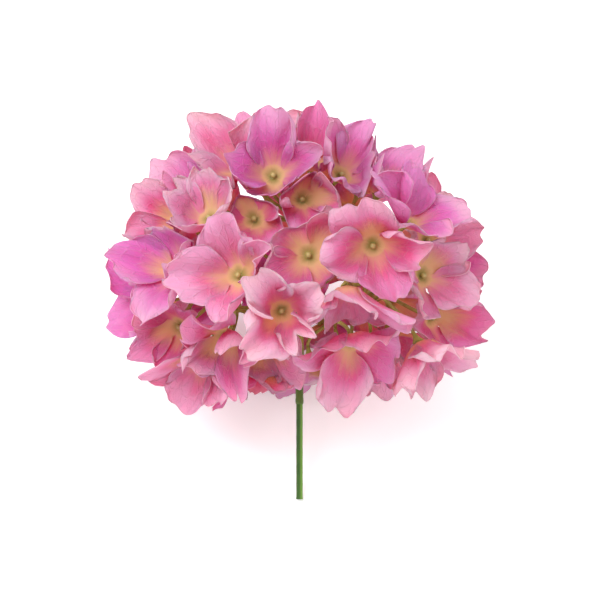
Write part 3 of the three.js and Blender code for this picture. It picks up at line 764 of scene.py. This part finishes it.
BUD_STALK_SIDES = 8
BUD_STALK_STEPS = 6
BUD_LENGTH = (9.0, 17.0)
BUD_LENGTH_DRAW = 80             # the buds draw their numbers as florets from here on would
BUD_SWAY_DRAW = 90

# The shade of the plastic: -1 is the sleeve's dark foot, 0 the branches, 1 the palest tip.
SLEEVE_DARKENS = (-24.0, 8.0)    # it starts below this height and takes this long
stalk_shade = (0.0, 0.4)
calyx_shade = (0.4, 0.8)
bead_shade = (0.2, 1.0)
BUD_STALK_SHADE = 0.3
BUD_SHADE = 0.8


def bezier(start, bend, end, count):
    """Points along the curve (1-t)^2 start + 2t(1-t) bend + t^2 end."""
    t = np.linspace(0, 1, count + 1)[:, None]
    return (1 - t) ** 2 * start + 2 * t * (1 - t) * bend + t ** 2 * end


def ringed(centres, radii, sides, lobes=None, lift=0.0, first=None):
    """Rings of points round a line: radius times (cos, sin) across it. The lobes add their
    reach times ((1 + cos 4 angle) / 2) to the power 1.4 to the radius, and each point is
    lifted along the line by lift times its radius."""
    along = unit(np.gradient(centres, axis=0))
    if first is None:
        mean = unit(centres[-1] - centres[0])
        first = np.cross(mean, [0.0, 0.0, 1.0] if abs(mean[2]) < 0.8 else [1.0, 0.0, 0.0])
    side = unit(first - (along @ first)[:, None] * along)
    other = np.cross(along, side)
    angle = np.linspace(0, 2 * math.pi, sides, endpoint=False)
    lobe = ((1 + np.cos(4 * angle)) / 2) ** 1.4
    reach = np.zeros(len(radii)) if lobes is None else np.array(lobes)
    spread = np.array(radii)[:, None] + reach[:, None] * lobe
    outwards = (np.cos(angle)[None, :, None] * side[:, None]
                + np.sin(angle)[None, :, None] * other[:, None])
    return (centres[:, None] + spread[..., None] * outwards
            + (lift * spread)[..., None] * along[:, None])


def joined(rings_list, shades):
    """One mesh's points, faces and shades from many bars, each closed by a fan at both ends."""
    points, quads, triangles, shade_of = [], [], [], []
    total = 0
    for rings, shade in zip(rings_list, shades):
        count, sides = rings.shape[:2]
        number = total + np.arange(count * sides).reshape(count, sides)
        after = np.roll(number, -1, axis=1)
        quads.append(np.stack(
            [number[:-1], after[:-1], after[1:], number[1:]], axis=-1).reshape(-1, 4))
        foot, head = total + count * sides, total + count * sides + 1
        triangles.append(np.stack([after[0], number[0], np.full(sides, foot)], axis=-1))
        triangles.append(np.stack([number[-1], after[-1], np.full(sides, head)], axis=-1))
        points += [rings.reshape(-1, 3), rings[0].mean(axis=0)[None], rings[-1].mean(axis=0)[None]]
        shade_of += [np.repeat(shade, sides), shade[:1], shade[-1:]]
        total += count * sides + 2
    return (np.concatenate(points), np.concatenate(quads), np.concatenate(triangles),
            np.concatenate(shade_of))


def moulded_piece(name, bars, material, node_name):
    """A piece made of closed bars, with the shade of each ring as a point attribute."""
    points, quads, triangles, shades = joined(*zip(*bars))
    mesh = bpy.data.meshes.new(name)
    mesh.from_pydata(laid(points).tolist(), [], quads.tolist() + triangles.tolist())
    mesh.polygons.foreach_set("use_smooth", np.ones(len(mesh.polygons), dtype=bool))
    layer = mesh.attributes.new("shade", "FLOAT", "POINT")
    layer.data.foreach_set("value", shades.astype(np.float32))
    mesh.materials.append(material)
    mesh.update()
    piece = bpy.data.objects.new(name, mesh)
    bpy.context.scene.collection.objects.link(piece)
    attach(piece, "root")
    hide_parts(node_name)


def upright_rings(profile, sides):
    """Rings round the stem's own line from a profile of heights and radii."""
    heights, radii = np.array(profile, float).T
    centres = np.stack([heights * 0, heights, heights * 0], axis=1)
    angle = np.linspace(0, 2 * math.pi, sides, endpoint=False)
    across = np.stack([np.cos(angle), np.zeros(sides), -np.sin(angle)], axis=1)
    return centres[:, None] + radii[:, None, None] * across[None]


# Moulded plastic: a colour mottled between dark and light, which the shade draws to the foot's
# or the tip's, with a fine grain. On the stem the tip's colour is painted light on its lit side.
moulded, given, result = shader_group(
    "moulded_plastic",
    {"Dark": "Color", "Light": "Color", "Tip And Lit Side": "Color", "Foot": "Color", "Mottle Scale": "Float"},
    {"Color": "Color", "Roughness": "Float", "Height": "Float"})
spot = node(moulded, "TexCoord", {}).outputs["Object"]
shade = node(moulded, "Attribute", {}, attribute_name="shade").outputs["Fac"]
mottle = node(moulded, "TexNoise", {
    "Vector": spot, "Scale": given["Mottle Scale"], "Detail": 4.0}).outputs[0]
grain = node(moulded, "TexNoise", {"Vector": spot, "Scale": 2400.0, "Detail": 2.0}).outputs[0]
body = blended(moulded, ramp(moulded, mottle, 0.35, 0.65), given["Dark"], given["Light"])
body = blended(moulded, ramp(moulded, shade, -1.0, 0.0, 1.0, 0.0), body, given["Foot"])
moulded.links.new(blended(
    moulded, ramp(moulded, shade, 0.55, 1.0), body, given["Tip And Lit Side"]), result["Color"])
moulded.links.new(ramp(moulded, mottle, 0.2, 0.8, 0.36, 0.52), result["Roughness"])
moulded.links.new(
    sums(moulded, "ADD", grain, sums(moulded, "MULTIPLY", mottle, 2.0)), result["Height"])


GRAIN_DEPTH = 0.03 * MM
GLOW_DEPTH = (0.8 * MM, 0.8 * MM, 0.4 * MM)  # how far light of each colour goes in


def plastic(name, dark, light, tip, foot, mottle_scale):
    """A moulded plastic with its own colours."""
    made = bpy.data.materials.new(name)
    made.use_nodes = True
    tree = made.node_tree
    group = node(tree, "Group", {}, node_tree=moulded)
    for label, value in (("Dark", dark), ("Light", light), ("Tip And Lit Side", tip), ("Foot", foot)):
        group.inputs[label].default_value = value
    group.inputs["Mottle Scale"].default_value = mottle_scale
    relief = node(tree, "Bump", {
        "Height": group.outputs["Height"], "Distance": GRAIN_DEPTH, "Strength": 1.0}).outputs[0]
    surface = tree.nodes["Principled BSDF"]
    tree.links.new(group.outputs["Color"], surface.inputs["Base Color"])
    tree.links.new(group.outputs["Roughness"], surface.inputs["Roughness"])
    tree.links.new(relief, surface.inputs["Normal"])
    surface.inputs["Specular IOR Level"].default_value = 0.45
    surface.inputs["Subsurface Weight"].default_value = 0.12
    surface.inputs["Subsurface Radius"].default_value = GLOW_DEPTH
    return made


olive = plastic(
    "olive_plastic", dark=(0.30, 0.29, 0.05, 1), light=(0.42, 0.39, 0.09, 1),
    tip=(0.56, 0.53, 0.16, 1), foot=(0.075, 0.13, 0.012, 1), mottle_scale=260.0)
bead_green = plastic(
    "bead_plastic", dark=(0.26, 0.22, 0.05, 1), light=(0.36, 0.30, 0.09, 1),
    tip=(0.47, 0.39, 0.15, 1), foot=(0.26, 0.22, 0.05, 1), mottle_scale=900.0)

hub = np.array([0, HUB_HEIGHT, 0])
branch_ends = [np.array([0, CROWN_HEIGHT, 0])]
sleeve_below = SLEEVE_DARKENS[0] - np.array(sleeve_profile)[:, 0]
moulding = [(
    upright_rings(sleeve_profile, SLEEVE_SIDES),
    -np.clip(sleeve_below / SLEEVE_DARKENS[1], 0, 1))]
for k in range(BRANCH_COUNT):
    angle = 2 * math.pi * (k + 0.5) / BRANCH_COUNT
    end = np.array([
        BRANCH_REACH * math.cos(angle), BRANCH_HEIGHTS[k % 2], BRANCH_REACH * math.sin(angle)])
    bend = hub + BRANCH_BEND[0] * (end - hub) + np.array([0, BRANCH_BEND[1], 0])
    line = bezier(hub, bend, end, BRANCH_STEPS)
    line = np.concatenate([line, end + unit(end - bend) * np.array(knob_reach)[:, None]])
    radii = np.concatenate([
        BRANCH_RADIUS * np.linspace(*BRANCH_TAPER, BRANCH_STEPS - 1), knob_radii])
    moulding.append((ringed(line, radii, MOULDED_SIDES), np.zeros(len(radii))))
    branch_ends.append(end)

beads = []
calyx_heights, calyx_radii, calyx_lobes = np.array(calyx_profile).T
bead_heights, bead_radii = np.array(bead_profile).T
for floret in florets:
    eye, axis = floret["eye"], floret["axis"]
    turn = math.radians(floret["turn"])
    towards = math.cos(turn) * floret["across"] + math.sin(turn) * floret["upward"]
    start = min(branch_ends, key=lambda end: np.linalg.norm(end - eye))
    line = bezier(start, eye - STALK_BEND * axis, eye + calyx_heights[0] * axis, STALK_STEPS)
    radii = STALK_RADIUS * np.linspace(*STALK_TAPER, len(line))
    moulding.append((ringed(line, radii, MOULDED_SIDES), np.linspace(*stalk_shade, len(line))))
    calyx = ringed(
        eye + calyx_heights[:, None] * axis, calyx_radii, CALYX_SIDES, calyx_lobes, RING_SLOPE,
        towards)
    moulding.append((calyx, np.linspace(*calyx_shade, len(calyx))))
    bead = ringed(
        eye + bead_heights[:, None] * axis, bead_radii, CALYX_SIDES,
        BEAD_LOBES * np.maximum(0, bead_radii - BEAD_NECK), 0.0, towards)
    beads.append((bead, np.linspace(*bead_shade, len(bead))))

for k, end in enumerate(branch_ends):
    outward = unit(end - hub)
    for n in range(BUDS_PER_NODE):
        sway = np.array([draw(BUD_SWAY_DRAW + k, 3 * n + i) for i in range(3)]) - 0.5
        way = unit(outward + BUD_SWAY * sway)
        length = between(BUD_LENGTH, draw(BUD_LENGTH_DRAW + k, n))
        tip = end + length * way
        bend = end + 0.5 * length * unit(way - 0.5 * outward)
        line = bezier(end, bend, tip, BUD_STALK_STEPS)
        radii = np.full(len(line), BUD_STALK_RADIUS)
        moulding.append((
            ringed(line, radii, BUD_STALK_SIDES), np.full(len(line), BUD_STALK_SHADE)))
        round_off = np.linspace(0, math.pi, BUD_RINGS)
        centres = tip - BUD_SLENDERNESS * BUD_RADIUS * np.cos(round_off)[:, None] * way
        radii = BUD_RADIUS * np.maximum(0.05, np.sin(round_off))
        beads.append((ringed(centres, radii, BUD_SIDES), np.full(BUD_RINGS, BUD_SHADE)))

moulded_piece("moulded_spray", moulding, olive, "spray")
moulded_piece("stalk_beads", beads, bead_green, "spray")

# ---- The stem and its wire -----------------------------------------------------------------
# A straight tube of deep green polyethylene, drawn over a steel wire and cut square with
# snips. Its foot is pressed out a little by the cut, and the wire's bright end shows there.

JOINT_GAP = 0.35                 # between the stem's top and the sleeve, inside its skirt
STEM_TOP = SLEEVE_END - JOINT_GAP
BORE_RADIUS = 0.95
WIRE_RADIUS = 0.6
WIRE_TOP = -34.0
STEM_SIDES = 48
WIRE_SIDES = 24
STEM_RINGS = 40
SHARP_ANGLE = math.radians(35)
# The side of the stem at this angle is painted lighter: painted light, not the plastic's own
# colour.
LIT_FROM = 0.3                   # its lighter side, in radians from the right to the front

# The drawn tube is uneven by a few hundredths of a millimetre, in two waves.
stem_heights = np.linspace(STEM_END + 2.2, STEM_TOP - 0.3, STEM_RINGS)
drawn = 0.02 * np.sin(stem_heights * 0.9) + 0.012 * np.sin(stem_heights * 2.3)
stem_profile = (
    [(STEM_TOP, BORE_RADIUS), (STEM_END + 0.06, BORE_RADIUS), (STEM_END, BORE_RADIUS + 0.08),
     (STEM_END, STEM_RADIUS - 0.02), (STEM_END + 0.08, STEM_RADIUS + 0.06),
     (STEM_END + 0.5, STEM_RADIUS + 0.05), (STEM_END + 0.9, STEM_RADIUS - 0.03)]
    + [(height, STEM_RADIUS - 0.04 + ripple) for height, ripple in zip(stem_heights, drawn)]
    + [(STEM_TOP, STEM_RADIUS - 0.08), (STEM_TOP, BORE_RADIUS)])
wire_profile = [
    (STEM_END + 0.1, 0.02), (STEM_END + 0.02, 0.3), (STEM_END, WIRE_RADIUS - 0.12),
    (STEM_END + 0.12, WIRE_RADIUS), (-70, WIRE_RADIUS), (WIRE_TOP - 0.1, WIRE_RADIUS),
    (WIRE_TOP, WIRE_RADIUS - 0.1), (WIRE_TOP, 0.02)]


def turned_piece(name, rings, closed, material, node_name):
    """A piece turned about the stem's line. A closed profile meets itself, an open one is
    closed by its two small end rings. Its shade is (1 + cos(angle - LIT_FROM)) / 2, which on the
    stem paints its side towards LIT_FROM lighter: painted light."""
    count, sides = rings.shape[:2]
    number = np.arange(count * sides).reshape(count, sides)
    if closed:
        number = np.concatenate([number[:-1], number[:1]])
    after = np.roll(number, -1, axis=1)
    quads = np.stack([number[:-1], after[:-1], after[1:], number[1:]], axis=-1).reshape(-1, 4)
    faces = quads.tolist()
    if not closed:
        faces += [number[0, ::-1].tolist(), number[-1].tolist()]
    mesh = bpy.data.meshes.new(name)
    used = (count - 1) * sides if closed else count * sides
    points = rings.reshape(-1, 3)[:used]
    mesh.from_pydata(laid(points).tolist(), [], faces)
    angle = np.arctan2(points[:, 2], points[:, 0])
    layer = mesh.attributes.new("shade", "FLOAT", "POINT")
    layer.data.foreach_set("value", (0.5 + 0.5 * np.cos(angle - LIT_FROM)).astype(np.float32))
    mesh.polygons.foreach_set("use_smooth", np.ones(len(mesh.polygons), dtype=bool))
    mesh.set_sharp_from_angle(angle=SHARP_ANGLE)
    mesh.materials.append(material)
    mesh.update()
    piece = bpy.data.objects.new(name, mesh)
    bpy.context.scene.collection.objects.link(piece)
    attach(piece, "root")
    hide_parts(node_name)


# The stem's tip colour paints its lighter side: painted light.
green = plastic(
    "green_plastic", dark=(0.020, 0.075, 0.003, 1), light=(0.033, 0.105, 0.006, 1),
    tip=(0.13, 0.29, 0.025, 1), foot=(0.020, 0.075, 0.003, 1), mottle_scale=160.0)
steel = bpy.data.materials.new("wire_steel")
steel.use_nodes = True
tree = steel.node_tree
spot = node(tree, "TexCoord", {}).outputs["Object"]
drawn_lines = node(tree, "TexNoise", {
    "Vector": spot, "Scale": 3000.0, "Detail": 3.0}).outputs[0]
surface = tree.nodes["Principled BSDF"]
surface.inputs["Metallic"].default_value = 1.0
tree.links.new(blended(
    tree, ramp(tree, drawn_lines, 0.4, 0.7), (0.42, 0.41, 0.40, 1), (0.60, 0.59, 0.57, 1)),
    surface.inputs["Base Color"])
tree.links.new(ramp(tree, drawn_lines, 0.3, 0.7, 0.28, 0.5), surface.inputs["Roughness"])

turned_piece("green_stem", upright_rings(stem_profile, STEM_SIDES), True, green, "stem")
turned_piece("steel_wire", upright_rings(wire_profile, WIRE_SIDES), False, steel, "stem_wire")
